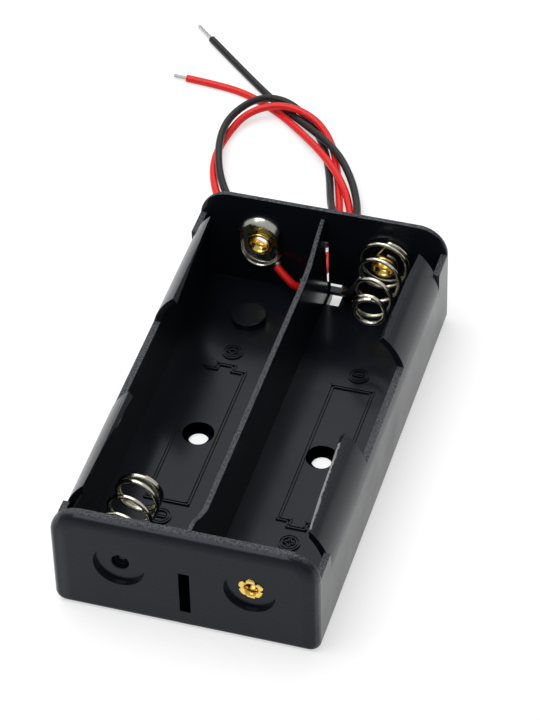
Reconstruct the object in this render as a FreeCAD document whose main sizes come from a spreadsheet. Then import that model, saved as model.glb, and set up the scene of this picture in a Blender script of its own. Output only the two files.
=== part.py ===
import FreeCAD, Part
import Sketcher
import math
import os
from FreeCAD import Placement, Rotation, Vector

# Cylindrical cell holder: a moulded two-bay tray with springs, contact plates, eyelets and two leads.
# Millimetres. +X runs across the bays, +Y to the wall the leads leave by, +Z up from the tray's underside.

doc = FreeCAD.newDocument("cell_holder")
sheet = doc.addObject("Spreadsheet::Sheet", "sizes")

SIZES = [
    ("tray_length", 75.6),
    ("tray_height", 19.3),
    ("bay_pitch", 20.0),
    ("cell_diameter", 18.5),
    ("cell_clearance", 0.2),
    ("side_wall", 1.05),
    ("end_wall", 1.4),
    ("floor_thickness", 1.7),
    ("top_corner_radius", 5.0),
    ("bottom_corner_radius", 1.8),
    ("end_edge_radius", 1.0),
    ("divider_foot", 1.6),
    ("divider_head", 0.5),
    ("divider_top", 13.9),
    ("divider_peak", 17.6),
    ("rim_height", 14.7),
    ("window_height", 13.4),
    ("window_length", 21.6),
    ("end_gap", 5.1),
    ("lip_opening_middle", 6.2),
    ("lip_opening_end", 7.2),
    ("back_contact_height", 10.9),
    ("back_contact_spread", 0.36),
    ("front_contact_height", 10.2),
    ("recess_radius", 3.96),
    ("recess_depth", 0.8),
    ("end_slot_width", 1.7),
    ("end_slot_foot", 3.2),
    ("back_slot_top", 12.9),
    ("front_slot_top", 11.2),
    ("back_slot_reach", 0.3),
    ("front_slot_reach", 0.9),
    ("cable_hole_foot", 2.4),
    ("cable_hole_height", 1.8),
    ("cable_hole_reach", 4.2),
    ("floor_slot_near", 1.1),
    ("floor_slot_far", 3.1),
    ("floor_slot_length", 2.4),
    ("screw_hole_radius", 1.6),
    ("screw_head_radius", 2.53),
    ("boss_radius", 2.8),
    ("boss_height", 1.2),
    ("boss_setback", 9.2),
    ("plate_thickness", 0.4),
    ("plate_half_width", 3.6),
    ("plate_half_height", 4.9),
    ("rim_width", 0.45),
    ("rim_depth", 0.9),
    ("barrel_radius", 1.5),
    ("barrel_bore_radius", 0.9),
    ("barrel_clearance", 0.05),
    ("flange_radius", 2.1),
    ("flange_height", 0.9),
    ("flange_round", 0.45),
    ("petal_radius", 2.05),
    ("petal_thickness", 0.3),
    ("petal_slit", 0.35),
    ("petal_count", 6),
    ("wire_diameter", 0.7),
    ("coil_base_radius", 4.1),
    ("back_coil_end_radius", 2.5),
    ("front_coil_end_radius", 3.4),
    ("back_coil_length", 12.4),
    ("back_coil_lean", 0.65),
    ("front_coil_length", 14.4),
    ("front_coil_offset", 1.7),
    ("lead_radius", 0.65),
    ("conductor_radius", 0.35),
    ("solder_radius", 0.8),
    ("red_solder_inset", 2.86),
    ("red_solder_drop", 3.9),
    ("black_solder_inset", 3.86),
    ("black_solder_drop", 3.9),
    ("tip_length_red", 2.4),
    ("tip_length_black", 4.5),
]
for row, (name, number) in enumerate(SIZES, start=1):
    sheet.set(f"A{row}", name)
    sheet.set(f"B{row}", str(number))
    sheet.setAlias(f"B{row}", name)
doc.recompute()


class Size:
    """A length that keeps its number and the sheet expression it came from."""

    def __init__(self, text, number):
        self.text = text
        self.number = number

    def __add__(self, other):
        other = as_size(other)
        return Size(f"({self.text} + {other.text})", self.number + other.number)

    def __sub__(self, other):
        other = as_size(other)
        return Size(f"({self.text} - {other.text})", self.number - other.number)

    def __mul__(self, factor):
        return Size(f"({self.text} * {factor})", self.number * factor)

    def __truediv__(self, factor):
        return Size(f"({self.text} / {factor})", self.number / factor)

    def __neg__(self):
        return Size(f"(-1 * {self.text})", -self.number)


def as_size(item):
    if isinstance(item, Size):
        return item
    return Size(str(item), float(item))


def size(name):
    return Size(f"sizes.{name}", float(getattr(sheet, name)))


length = size("tray_length")
height = size("tray_height")
bay = size("bay_pitch") / 2
side_wall = size("side_wall")
end_wall = size("end_wall")
floor = size("floor_thickness")
cell_radius = size("cell_diameter") / 2
inner_radius = cell_radius + size("cell_clearance")
outer_radius = inner_radius + side_wall
cell_height = floor + cell_radius
half_width = bay + outer_radius
inner_side = bay + inner_radius
half_length = length / 2
wall_face = half_length - end_wall
recess_floor = half_length - size("recess_depth")
back_contact = bay + size("back_contact_spread")
back_height = size("back_contact_height")
front_height = size("front_contact_height")
wire = size("wire_diameter")
plate = size("plate_thickness")
OVERSHOOT = 1.0
above = height + outer_radius


def new_sketch(body, name, role, offset=None):
    """A sketch on one of the body's own planes, moved along the plane's normal by offset."""
    sketch = body.newObject("Sketcher::SketchObject", name)
    plane = [item for item in body.Origin.OriginFeatures if item.Role == role][0]
    sketch.AttachmentSupport = [(plane, "")]
    sketch.MapMode = "FlatFace"
    if offset is not None:
        sketch.AttachmentOffset = Placement(Vector(0, 0, offset.number), Rotation())
        sketch.setExpression("AttachmentOffset.Base.z", offset.text)
    return sketch


def pin(sketch, kind, parts, value):
    index = sketch.addConstraint(Sketcher.Constraint(kind, *parts, value.number))
    sketch.setExpression(f"Constraints[{index}]", value.text)


def arc_between(start, end, radius, turn):
    """The shorter arc from start to end; turn is 1 with its centre on the left, -1 on the right."""
    chord = end - start
    reach = math.sqrt(max(radius ** 2 - (chord.Length / 2) ** 2, 0.0))
    left = Vector(-chord.y, chord.x, 0).normalize()
    centre = (start + end) / 2 + left * reach * turn
    first, last = (start, end) if turn > 0 else (end, start)
    angles = [math.atan2(point.y - centre.y, point.x - centre.x) for point in (first, last)]
    if angles[1] < angles[0]:
        angles[1] += 2 * math.pi
    return Part.ArcOfCircle(Part.Circle(centre, Vector(0, 0, 1), radius), angles[0], angles[1])


def draw_loop(sketch, corners, arcs=None):
    """A closed outline: corners are pairs of sizes, arcs maps an edge's number to (radius, turn)."""
    arcs = arcs or {}
    corners = [(as_size(u), as_size(v)) for u, v in corners]
    spots = [Vector(u.number, v.number, 0) for u, v in corners]
    count = len(corners)
    edges = []
    for index in range(count):
        start, end = spots[index], spots[(index + 1) % count]
        if index in arcs:
            radius, turn = arcs[index]
            edge = sketch.addGeometry(arc_between(start, end, radius.number, turn))
            edges.append((edge, 1 if turn > 0 else 2, 2 if turn > 0 else 1))
        else:
            edges.append((sketch.addGeometry(Part.LineSegment(start, end)), 1, 2))
    for index in range(count):
        edge, _, far = edges[index]
        following, near, _ = edges[(index + 1) % count]
        sketch.addConstraint(Sketcher.Constraint("Coincident", edge, far, following, near))
    for index, (u, v) in enumerate(corners):
        edge, near, _ = edges[index]
        pin(sketch, "DistanceX", (-1, 1, edge, near), u)
        pin(sketch, "DistanceY", (-1, 1, edge, near), v)
    for index, (radius, _) in arcs.items():
        pin(sketch, "Radius", (edges[index][0],), radius)


def draw_both_sides(sketch, corners, arcs=None):
    """The outline and its mirror image across the sketch's vertical axis."""
    arcs = arcs or {}
    draw_loop(sketch, corners, arcs)
    flipped = {index: (radius, -turn) for index, (radius, turn) in arcs.items()}
    draw_loop(sketch, [(-as_size(u), v) for u, v in corners], flipped)


def draw_circle(sketch, u, v, radius):
    u, v = as_size(u), as_size(v)
    edge = sketch.addGeometry(Part.Circle(Vector(u.number, v.number, 0), Vector(0, 0, 1), radius.number))
    pin(sketch, "DistanceX", (-1, 1, edge, 3), u)
    pin(sketch, "DistanceY", (-1, 1, edge, 3), v)
    pin(sketch, "Radius", (edge,), radius)


def extrude(body, kind, name, sketch, depth, side="One side", backwards=False):
    feature = body.newObject(f"PartDesign::{kind}", name)
    feature.Profile = sketch
    feature.SideType = side
    feature.Length = depth.number
    feature.setExpression("Length", depth.text)
    feature.Reversed = backwards
    doc.recompute()
    return feature


def box_corners(near, low, far, high):
    return [(near, low), (far, low), (far, high), (near, high)]


# The tray, moulded in one piece.
tray = doc.addObject("PartDesign::Body", "tray")
tray.Label = "tray"

top_radius = size("top_corner_radius")
foot_radius = size("bottom_corner_radius")
outline = new_sketch(tray, "outline", "XZ_Plane")
draw_loop(
    outline,
    [
        (-half_width + foot_radius, 0),
        (half_width - foot_radius, 0),
        (half_width, foot_radius),
        (half_width, height - top_radius),
        (half_width - top_radius, height),
        (-half_width + top_radius, height),
        (-half_width, height - top_radius),
        (-half_width, foot_radius),
    ],
    {1: (foot_radius, 1), 3: (top_radius, 1), 5: (top_radius, 1), 7: (foot_radius, 1)},
)
extrude(tray, "Pad", "block", outline, length, "Symmetric")

bay_length = length - end_wall * 2
bays = new_sketch(tray, "bay_outline", "XZ_Plane")
draw_both_sides(
    bays,
    [
        (size("divider_foot") / 2, floor),
        (inner_side, floor),
        (inner_side, above),
        (size("divider_head") / 2, above),
        (size("divider_head") / 2, height),
    ],
)
extrude(tray, "Pocket", "bays", bays, bay_length, "Symmetric")

outside = half_width + OVERSHOOT
rim = new_sketch(tray, "rim_outline", "XZ_Plane")
draw_both_sides(rim, box_corners(bay, size("rim_height"), outside, above))
extrude(tray, "Pocket", "rim", rim, bay_length, "Symmetric")

# The lips follow the cell: two arcs about its axis, from mid height to the snap opening.
lip_opening = size("lip_opening_middle")
inner_rise = math.sqrt(inner_radius.number ** 2 - lip_opening.number ** 2)
tip_inner = (bay + lip_opening, cell_height + Size(
    f"sqrt({inner_radius.text} ^ 2 - {lip_opening.text} ^ 2)", inner_rise))
growth = Size(f"({outer_radius.text} / {inner_radius.text})", outer_radius.number / inner_radius.number)


def scaled(item, factor):
    return Size(f"({item.text} * {factor.text})", item.number * factor.number)


tip_outer = (bay + scaled(lip_opening, growth), cell_height + scaled(tip_inner[1] - cell_height, growth))
lip_length = bay_length - size("end_gap") * 2
lips = new_sketch(tray, "lip_outline", "XZ_Plane")
draw_both_sides(
    lips,
    [(inner_side, cell_height), (half_width, cell_height), tip_outer, tip_inner],
    {1: (outer_radius, 1), 3: (inner_radius, -1)},
)
extrude(tray, "Pad", "lips", lips, lip_length, "Symmetric")

shoulders = new_sketch(tray, "shoulder_outline", "XZ_Plane")
draw_both_sides(
    shoulders,
    [(half_width, cell_height), (outside, cell_height), (outside, above), (tip_outer[0], above), tip_outer],
    {4: (outer_radius, -1)},
)
extrude(tray, "Pocket", "shoulders", shoulders, lip_length, "Symmetric")

window = new_sketch(tray, "window_outline", "XZ_Plane")
draw_both_sides(window, box_corners(bay, size("window_height"), outside, above))
extrude(tray, "Pocket", "windows", window, size("window_length"), "Symmetric")

# The snap opening widens from the window towards each end wall.
window_end = size("window_length") / 2
lip_end = lip_length / 2
far_opening = size("lip_opening_end")
taper = new_sketch(tray, "lip_taper_outline", "XY_Plane", above)
for way in (1, -1):
    draw_both_sides(
        taper,
        [
            (bay, window_end * way),
            (bay + lip_opening, window_end * way),
            (bay + far_opening, lip_end * way),
            (bay, lip_end * way),
        ],
    )
extrude(tray, "Pocket", "lip_taper", taper, above - size("rim_height") - OVERSHOOT)

# The divider is low between the windows and climbs to both end walls. Each pair is a setback from the
# wall and a drop from the peak.
FRONT_CLIMB = [(0.0, 0.0), (2.1, 0.7), (4.4, 1.0), (6.7, 2.4)]
BACK_CLIMB = [(0.0, 0.0), (3.4, 1.1), (5.7, 2.1), (7.9, 3.1)]
FRONT_CLIMB_LENGTH = 9.5
BACK_CLIMB_LENGTH = 12.0
divider_top = size("divider_top")
divider_peak = size("divider_peak")
climb = new_sketch(tray, "divider_outline", "YZ_Plane")
front_climb = [(-wall_face + setback, divider_peak - drop) for setback, drop in FRONT_CLIMB]
back_climb = [(wall_face - setback, divider_peak - drop) for setback, drop in reversed(BACK_CLIMB)]
draw_loop(
    climb,
    front_climb
    + [(-wall_face + FRONT_CLIMB_LENGTH, divider_top), (wall_face - BACK_CLIMB_LENGTH, divider_top)]
    + back_climb
    + [(wall_face, above), (-wall_face, above)],
)
extrude(tray, "Pocket", "divider_top", climb, size("divider_foot") * 2, "Symmetric")

back_slot_start = wall_face - size("back_slot_reach")
front_slot_start = wall_face - size("front_slot_reach")
slots = new_sketch(tray, "end_slot_outline", "YZ_Plane")
slot_end = half_length + OVERSHOOT
draw_loop(slots, box_corners(back_slot_start, size("end_slot_foot"), slot_end, size("back_slot_top")))
draw_loop(slots, box_corners(-front_slot_start, size("end_slot_foot"), -slot_end, size("front_slot_top")))
extrude(tray, "Pocket", "end_slots", slots, size("end_slot_width"), "Symmetric")

hole_foot = size("cable_hole_foot")
hole_rise = size("cable_hole_height")
hole_bend = hole_rise / 2
hole_near = size("divider_foot") / 2
hole_far = size("cable_hole_reach") - hole_bend
wall_plane = -half_length
cable = new_sketch(tray, "cable_hole_outline", "XZ_Plane", wall_plane)
draw_both_sides(
    cable,
    [
        (hole_near, hole_foot),
        (hole_far, hole_foot),
        (hole_far + hole_bend, hole_foot + hole_bend),
        (hole_far, hole_foot + hole_rise),
        (hole_near, hole_foot + hole_rise),
    ],
    {1: (hole_bend, 1), 2: (hole_bend, 1)},
)
extrude(tray, "Pocket", "cable_holes", cable, end_wall, backwards=True)

# Round recesses in both end faces, where the eyelets are closed over.
for name, way, across, up in (("back", 1, back_contact, back_height), ("front", -1, bay, front_height)):
    face = new_sketch(tray, f"{name}_recess_outline", "XZ_Plane", -half_length * way)
    draw_circle(face, across, up, size("recess_radius"))
    draw_circle(face, -across, up, size("recess_radius"))
    extrude(tray, "Pocket", f"{name}_recesses", face, size("recess_depth"), backwards=way > 0)

barrel_hole = size("barrel_radius") + size("barrel_clearance")
back_holes = new_sketch(tray, "back_eyelet_holes_outline", "XZ_Plane", -half_length)
draw_circle(back_holes, back_contact, back_height, barrel_hole)
draw_circle(back_holes, -back_contact, back_height, barrel_hole)
extrude(tray, "Pocket", "back_eyelet_holes", back_holes, end_wall, backwards=True)
front_holes = new_sketch(tray, "front_eyelet_holes_outline", "XZ_Plane", half_length)
draw_circle(front_holes, bay, front_height, barrel_hole)
draw_circle(front_holes, -bay, front_height, barrel_hole)
extrude(tray, "Pocket", "front_eyelet_holes", front_holes, end_wall)

screws = new_sketch(tray, "screw_hole_outline", "XY_Plane", floor)
draw_circle(screws, bay, 0, size("screw_hole_radius"))
draw_circle(screws, -bay, 0, size("screw_hole_radius"))
extrude(tray, "Pocket", "screw_holes", screws, floor)

bosses = new_sketch(tray, "boss_outline", "XY_Plane", floor)
boss_place = wall_face - size("boss_setback")
draw_circle(bosses, -bay, boss_place, size("boss_radius"))
draw_circle(bosses, bay, -boss_place, size("boss_radius"))
extrude(tray, "Pad", "bosses", bosses, size("boss_height"))


def edge_names(shape, wanted):
    return [f"Edge{number}" for number, edge in enumerate(shape.Edges, start=1) if wanted(edge)]


NEAR = 0.01
lead_in = size("screw_head_radius") - size("screw_hole_radius")


def is_screw_hole_top(edge):
    box = edge.BoundBox
    flat = abs(box.ZMin - floor.number) < NEAR and abs(box.ZMax - floor.number) < NEAR
    round_edge = isinstance(edge.Curve, Part.Circle)
    return flat and round_edge and abs(edge.Curve.Radius - sheet.screw_hole_radius) < NEAR


moulding = tray.Tip
countersink = tray.newObject("PartDesign::Chamfer", "countersinks")
countersink.Base = (moulding, edge_names(moulding.Shape, is_screw_hole_top))
countersink.Size = lead_in.number
countersink.setExpression("Size", lead_in.text)
doc.recompute()


def is_end_outline(edge):
    box = edge.BoundBox
    on_end = abs(abs(box.YMin) - half_length.number) < NEAR and abs(box.YMax - box.YMin) < NEAR
    middle = edge.CenterOfMass
    reach = half_width.number - top_radius.number
    outer = abs(middle.x) > reach or middle.z > height.number - NEAR or middle.z < NEAR
    return on_end and outer


rounding = tray.newObject("PartDesign::Fillet", "end_rounding")
rounding.Base = (countersink, edge_names(countersink.Shape, is_end_outline))
rounding.Radius = size("end_edge_radius").number
rounding.setExpression("Radius", size("end_edge_radius").text)
doc.recompute()

# Slots through the floor in front of the cable holes, open under the end wall.
floor_slots = new_sketch(tray, "floor_slot_outline", "XY_Plane", floor)
slot_near = wall_face - size("floor_slot_length")
draw_both_sides(floor_slots, box_corners(size("floor_slot_near"), slot_near, size("floor_slot_far"), slot_end))
extrude(tray, "Pocket", "floor_slots", floor_slots, floor)


def seat(body, x, y, z, turned=False):
    """Put a piece at its place; turned pieces face the back wall instead of the front one."""
    if turned:
        body.Placement = Placement(Vector(0, 0, 0), Rotation(Vector(0, 0, 1), 180))
    for axis, value in (("x", x), ("y", y), ("z", z)):
        body.setExpression(f"Placement.Base.{axis}", as_size(value).text)
    doc.recompute()


def oval_corners(wide, tall, straight):
    """An upright oval's corners; the arcs between them are quarter circles."""
    return [(wide, -straight), (wide, straight), (0, tall), (-wide, straight), (-wide, -straight), (0, -tall)]


def make_plate(label):
    """A pressed oval contact plate with a raised sloping rim. It faces -Y from its own origin."""
    body = doc.addObject("PartDesign::Body", label)
    body.Label = label
    wide = size("plate_half_width")
    tall = size("plate_half_height")
    rim_width = size("rim_width")
    rim_depth = size("rim_depth")
    straight = tall - wide
    pressed = new_sketch(body, "plate_outline", "XZ_Plane")
    draw_loop(pressed, oval_corners(wide, tall, straight), {edge: (wide, 1) for edge in (1, 2, 4, 5)})
    blank = extrude(body, "Pad", "blank", pressed, plate + rim_depth)
    front = -(plate + rim_depth).number
    rim_edges = edge_names(blank.Shape, lambda edge: abs(edge.BoundBox.YMax - front) < NEAR)
    slope = body.newObject("PartDesign::Chamfer", "rim_slope")
    slope.Base = (blank, rim_edges)
    slope.Size = (rim_width / 2).number
    slope.setExpression("Size", (rim_width / 2).text)
    doc.recompute()
    dish = new_sketch(body, "dish_outline", "XZ_Plane", plate + rim_depth)
    inner = wide - rim_width
    inner_arcs = {edge: (inner, 1) for edge in (1, 2, 4, 5)}
    draw_loop(dish, oval_corners(inner, tall - rim_width, straight), inner_arcs)
    extrude(body, "Pocket", "dish", dish, rim_depth)
    hole = new_sketch(body, "hole_outline", "XZ_Plane", plate)
    draw_circle(hole, 0, 0, barrel_hole)
    extrude(body, "Pocket", "hole", hole, plate)
    return body


def make_eyelet(label, grip):
    """A rolled eyelet: rounded flange at its own origin, barrel to +Y, petals folded out past the grip."""
    body = doc.addObject("PartDesign::Body", label)
    body.Label = label
    bore = size("barrel_bore_radius")
    barrel = size("barrel_radius")
    flange = size("flange_radius")
    petal = size("petal_radius")
    far = grip + size("petal_thickness")
    near = -size("flange_height")
    shoulder = size("flange_round")
    mouth = flange - shoulder - bore
    profile = new_sketch(body, "profile", "YZ_Plane")
    draw_loop(
        profile,
        [(near + mouth, bore), (far, bore), (far, petal), (grip, petal), (grip, barrel), (0, barrel),
         (0, flange), (near + shoulder, flange), (near, flange - shoulder)],
        {7: (shoulder, 1), 8: (mouth, 1)},
    )
    turned = body.newObject("PartDesign::Revolution", "turned")
    turned.Profile = profile
    turned.ReferenceAxis = (profile, ["H_Axis"])
    doc.recompute()
    slit = new_sketch(body, "slit_outline", "XZ_Plane", -far)
    half_slit = size("petal_slit") / 2
    draw_loop(slit, box_corners(barrel, -half_slit, petal + OVERSHOOT, half_slit))
    cut = extrude(body, "Pocket", "slit", slit, size("petal_thickness"), backwards=True)
    pattern = body.newObject("PartDesign::PolarPattern", "slits")
    pattern.Originals = [cut]
    pattern.Axis = ([item for item in body.Origin.OriginFeatures if item.Role == "Y_Axis"][0], [""])
    pattern.setExpression("Occurrences", "sizes.petal_count")
    body.Tip = pattern
    doc.recompute()
    return body


wall_left = recess_floor - wall_face
back_plate = make_plate("back_plate")
seat(back_plate, -back_contact, wall_face, back_height)
front_plate = make_plate("front_plate")
seat(front_plate, bay, -wall_face + wire, front_height, turned=True)

plate_eyelet = make_eyelet("back_plate_eyelet", wall_left + plate)
seat(plate_eyelet, -back_contact, wall_face - plate, back_height)
spring_eyelet = make_eyelet("back_spring_eyelet", wall_left + wire)
seat(spring_eyelet, back_contact, wall_face - wire, back_height)
front_eyelet = make_eyelet("front_plate_eyelet", wall_left + plate + wire)
seat(front_eyelet, bay, -wall_face + wire + plate, front_height, turned=True)

# Springs: one wire each, an eye round the eyelet's barrel, then a coil that stands off the wall.
POINTS_PER_TURN = 12
WIRE_SIDES = 8
LEAD_SIDES = 8
EYE_TURNS = 0.82
CROSSOVER_TURNS = 0.18
FLAT_TURNS = 0.7
RISING_TURNS = 3.6
EVEN_SHARE = 0.85
COIL_ANGLE = math.radians(150)
LINK_POINTS = 9
LINK_SAG = 0.55
eye_clear_radius = sheet.barrel_radius + sheet.barrel_clearance + sheet.wire_diameter / 2
eye_radius = eye_clear_radius / math.cos(math.pi / POINTS_PER_TURN)


def eased(share):
    share = min(max(share, 0.0), 1.0)
    return share * share * (3.0 - 2.0 * share)


def coil_points(centre, inward, angle, spin, end_radius, coil_length, closed_turns, lean):
    """Points along the coil from its flat base turn, which starts at the angle, to its free end."""
    base = sheet.coil_base_radius
    closing = closed_turns * (sheet.wire_diameter + sheet.barrel_clearance)
    climb = coil_length - sheet.wire_diameter - closing
    turns = FLAT_TURNS + RISING_TURNS + FLAT_TURNS + closed_turns
    points = []
    for index in range(int(turns * POINTS_PER_TURN) + 1):
        turn = index / POINTS_PER_TURN
        share = min(max((turn - FLAT_TURNS) / RISING_TURNS, 0.0), 1.0)
        rise = climb * (EVEN_SHARE * share + (1.0 - EVEN_SHARE) * eased(share))
        late = turn - FLAT_TURNS - RISING_TURNS
        if late > 0 and closed_turns > 0:
            rise += closing * min(late / closed_turns, 1.0)
        radius = base + (end_radius - base) * share
        at = angle + spin * 2 * math.pi * turn
        points.append(centre + Vector(
            radius * math.cos(at) + lean * share,
            inward * (sheet.wire_diameter / 2 + rise),
            radius * math.sin(at),
        ))
    return points


def eye_points(centre, inward, last_angle, spin):
    points = []
    steps = int(EYE_TURNS * POINTS_PER_TURN)
    for index in range(steps + 1):
        at = last_angle - spin * 2 * math.pi * (steps - index) / POINTS_PER_TURN
        points.append(centre + Vector(
            eye_radius * math.cos(at), inward * sheet.wire_diameter / 2, eye_radius * math.sin(at)))
    return points


def wire_section(radius, sides, centre, direction):
    """A regular outline inside the wire's circle, so that a long wire keeps few faces."""
    turn = Rotation(Vector(0, 0, 1), direction)
    corners = []
    for index in range(sides + 1):
        at = 2 * math.pi * (index % sides) / sides
        corners.append(centre + turn.multVec(Vector(radius * math.cos(at), radius * math.sin(at), 0)))
    return Part.makePolygon(corners)


def section_area(radius, sides):
    return sides / 2 * radius ** 2 * math.sin(2 * math.pi / sides)


def sweep_wire(label, points):
    """A wire along short straight runs, mitred where they meet."""
    path = Part.makePolygon(points)
    section = wire_section(sheet.wire_diameter / 2, WIRE_SIDES, points[0], points[1] - points[0])
    shape = path.makePipeShell([section], True, False, 1)
    expected = path.Length * section_area(sheet.wire_diameter / 2, WIRE_SIDES)
    print(f"{label}: length {path.Length:.2f}, volume {shape.Volume:.2f} for {expected:.2f}")
    spring = doc.addObject("Part::Feature", label)
    spring.Label = label
    spring.Shape = shape
    spring.Placement = Placement(Vector(0, 0, 0), Rotation())
    return spring


wall_y = wall_face.number
back_centre = Vector(back_contact.number, wall_y, back_height.number)
coil_start = COIL_ANGLE - 2 * math.pi * CROSSOVER_TURNS
back_eye = eye_points(back_centre, -1, COIL_ANGLE, -1)
back_coil = coil_points(
    back_centre, -1, coil_start, -1, sheet.back_coil_end_radius, sheet.back_coil_length,
    closed_turns=0.0, lean=sheet.back_coil_lean)
back_spring = sweep_wire("back_spring", back_eye + back_coil)

# The front wire crosses from the right-hand eye to the left-hand coil through the slot by the divider.
eye_centre = Vector(bay.number, -wall_y, front_height.number)
coil_centre = Vector(-bay.number - sheet.front_coil_offset, -wall_y, front_height.number)
lean = math.asin((eye_radius + sheet.coil_base_radius) / (eye_centre.x - coil_centre.x))
side_on = Vector(math.sin(lean), 0, math.cos(lean))
half_wire = Vector(0, sheet.wire_diameter / 2, 0)
leave = eye_centre - side_on * eye_radius + half_wire
arrive = coil_centre + side_on * sheet.coil_base_radius + half_wire
link = []
for index in range(1, LINK_POINTS):
    share = index / LINK_POINTS
    link.append(leave + (arrive - leave) * share - Vector(0, 0, LINK_SAG * math.sin(math.pi * share)))
front_eye = eye_points(eye_centre, 1, -math.pi / 2 - lean, -1)
front_coil = coil_points(
    coil_centre, 1, math.pi / 2 - lean, 1, sheet.front_coil_end_radius, sheet.front_coil_length,
    closed_turns=1.0, lean=0.0)
front_spring = sweep_wire("front_spring", front_eye + link + front_coil)

# Leads: straight runs joined by arcs. Route points are across, out from the tray's back face, up from rest.
RUN_SHARE = 0.45


def rounded_path(points):
    """Straight runs with a tangent arc at every inner point, sized by the shorter run beside it."""
    edges = []
    start = points[0]
    smallest = None
    for before, corner, after in zip(points, points[1:], points[2:]):
        inward = corner - before
        outward = after - corner
        half_turn = inward.getAngle(outward) / 2
        trim = RUN_SHARE * min(inward.Length, outward.Length)
        radius = trim / math.tan(half_turn)
        smallest = radius if smallest is None else min(smallest, radius)
        begin = corner - inward.normalize() * trim
        finish = corner + outward.normalize() * trim
        middle_way = (begin + finish) / 2 - corner
        depth = radius / math.cos(half_turn) - radius
        summit = corner + middle_way.normalize() * depth
        edges.append(Part.makeLine(start, begin))
        edges.append(Part.Arc(begin, summit, finish).toShape())
        start = finish
    edges.append(Part.makeLine(start, points[-1]))
    return Part.Wire(edges), smallest


def make_lead(label, points):
    path, smallest = rounded_path(points)
    radius = sheet.lead_radius
    section = wire_section(radius, LEAD_SIDES, points[0], points[1] - points[0])
    lead = doc.addObject("Part::Feature", label)
    lead.Label = label
    lead.Shape = path.makePipeShell([section], True, False)
    lead.Placement = Placement(Vector(0, 0, 0), Rotation())
    expected = path.Length * section_area(radius, LEAD_SIDES)
    print(f"{label}: length {path.Length:.2f}, smallest bend {smallest:.2f}, "
          f"volume {lead.Shape.Volume:.2f} for {expected:.2f}")
    return lead


back_face = half_length.number
rest = sheet.lead_radius + NEAR
# The short way from each solder joint, round inside the bay and out through the cable hole:
# across, out from the wall's inner face, up from the tray's underside.
RED_START = [
    (sheet.red_solder_inset - back_contact.number, -1.4, back_height.number - sheet.red_solder_drop),
    (-5.6, -2.4, 5.8),
    (-3.8, -2.8, 4.5),
    (-2.4, -1.3, 3.4),
    (-2.1, 1.2, 3.2),
]
BLACK_START = [
    (back_contact.number - sheet.black_solder_inset, -1.2, back_height.number - sheet.black_solder_drop),
    (5.5, -1.9, 5.4),
    (4.3, -1.9, 4.2),
    (3.55, -0.5, 3.4),
    (3.45, 1.6, 3.3),
]
RED_ROUTE = [
    (-2.2, 3.6, 2.69),
    (-2.4, 7.8, 2.26),
    (-3, 13.7, 1.45),
    (-3.5, 20.6, 0),
    (-6.1, 28.7, 0),
    (-9.2, 36.8, 0),
    (-13.71, 41.27, 1.62),
    (-20.12, 42.67, 2.26),
    (-25.67, 40.28, 1.08),
    (-27.67, 34.4, 0.11),
    (-28, 27.4, 0),
    (-25.2, 19.5, 0),
    (-19.5, 11.5, 0),
    (-11.5, 7.2, 0),
    (-3.4, 7.2, 0),
    (1, 12.7, 0),
    (-1.1, 19.19, 0.32),
    (-3.98, 25.08, 1.4),
    (-9.18, 31.78, 1.4),
    (-15.7, 38.19, 0.65),
    (-21.2, 43, 0),
    (-27.6, 46.3, 0),
    (-33.3, 47.4, 0),
    (-39.07, 47.8, 0),
]
BLACK_ROUTE = [
    (1.8, 3.6, 2.91),
    (0.2, 7.9, 3.01),
    (-2, 13, 3.01),
    (-4, 17.6, 2.26),
    (-5.41, 21.48, 0.97),
    (-7.6, 28.8, 0),
    (-10.4, 35.6, 0),
    (-14.5, 41.7, 0),
    (-19.47, 44.68, 1.45),
    (-24.41, 43.87, 1.94),
    (-27.58, 39.07, 1.73),
    (-28.28, 33.37, 1.73),
    (-26.64, 25.97, 1.51),
    (-23.67, 19.89, 0.43),
    (-18.5, 13.6, 0),
    (-11.2, 10.4, 0),
    (-2.6, 10.8, 0),
    (0.65, 14.9, 2.2),
    (0.02, 19.48, 1.4),
    (-2.98, 26.78, 1.4),
    (-7.64, 33.67, 1.51),
    (-13.88, 38.48, 1.4),
    (-21, 44.5, 0),
    (-27, 49.4, 0),
    (-38.15, 59.62, 0),
]


def route_points(start, route):
    inside_points = [Vector(x, wall_y + out, up) for x, out, up in start]
    outside_points = [Vector(x, back_face + out, rest + rise) for x, out, rise in route]
    return inside_points + outside_points


red_points = route_points(RED_START, RED_ROUTE)
black_points = route_points(BLACK_START, BLACK_ROUTE)
red_lead = make_lead("red_lead", red_points)
black_lead = make_lead("black_lead", black_points)


def make_tip(label, points, tip_length):
    """The bare tinned end, a straight cylinder on the lead's end face."""
    tip = doc.addObject("Part::Cylinder", label)
    tip.Label = label
    tip.setExpression("Radius", "sizes.conductor_radius")
    tip.setExpression("Height", f"sizes.{tip_length}")
    tip.Placement = Placement(points[-1], Rotation(Vector(0, 0, 1), points[-1] - points[-2]))
    doc.recompute()
    return tip


red_tip = make_tip("red_tip", red_points, "tip_length_red")
black_tip = make_tip("black_tip", black_points, "tip_length_black")


def make_solder(label, start):
    """A round solder joint over the lead's first end, resting on the wall."""
    joint = doc.addObject("Part::Sphere", label)
    joint.Label = label
    joint.setExpression("Radius", "sizes.solder_radius")
    joint.Placement = Placement(Vector(start.x, wall_y - sheet.solder_radius, start.z), Rotation())
    doc.recompute()
    return joint


red_solder = make_solder("red_solder", red_points[0])
black_solder = make_solder("black_solder", black_points[0])

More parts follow.
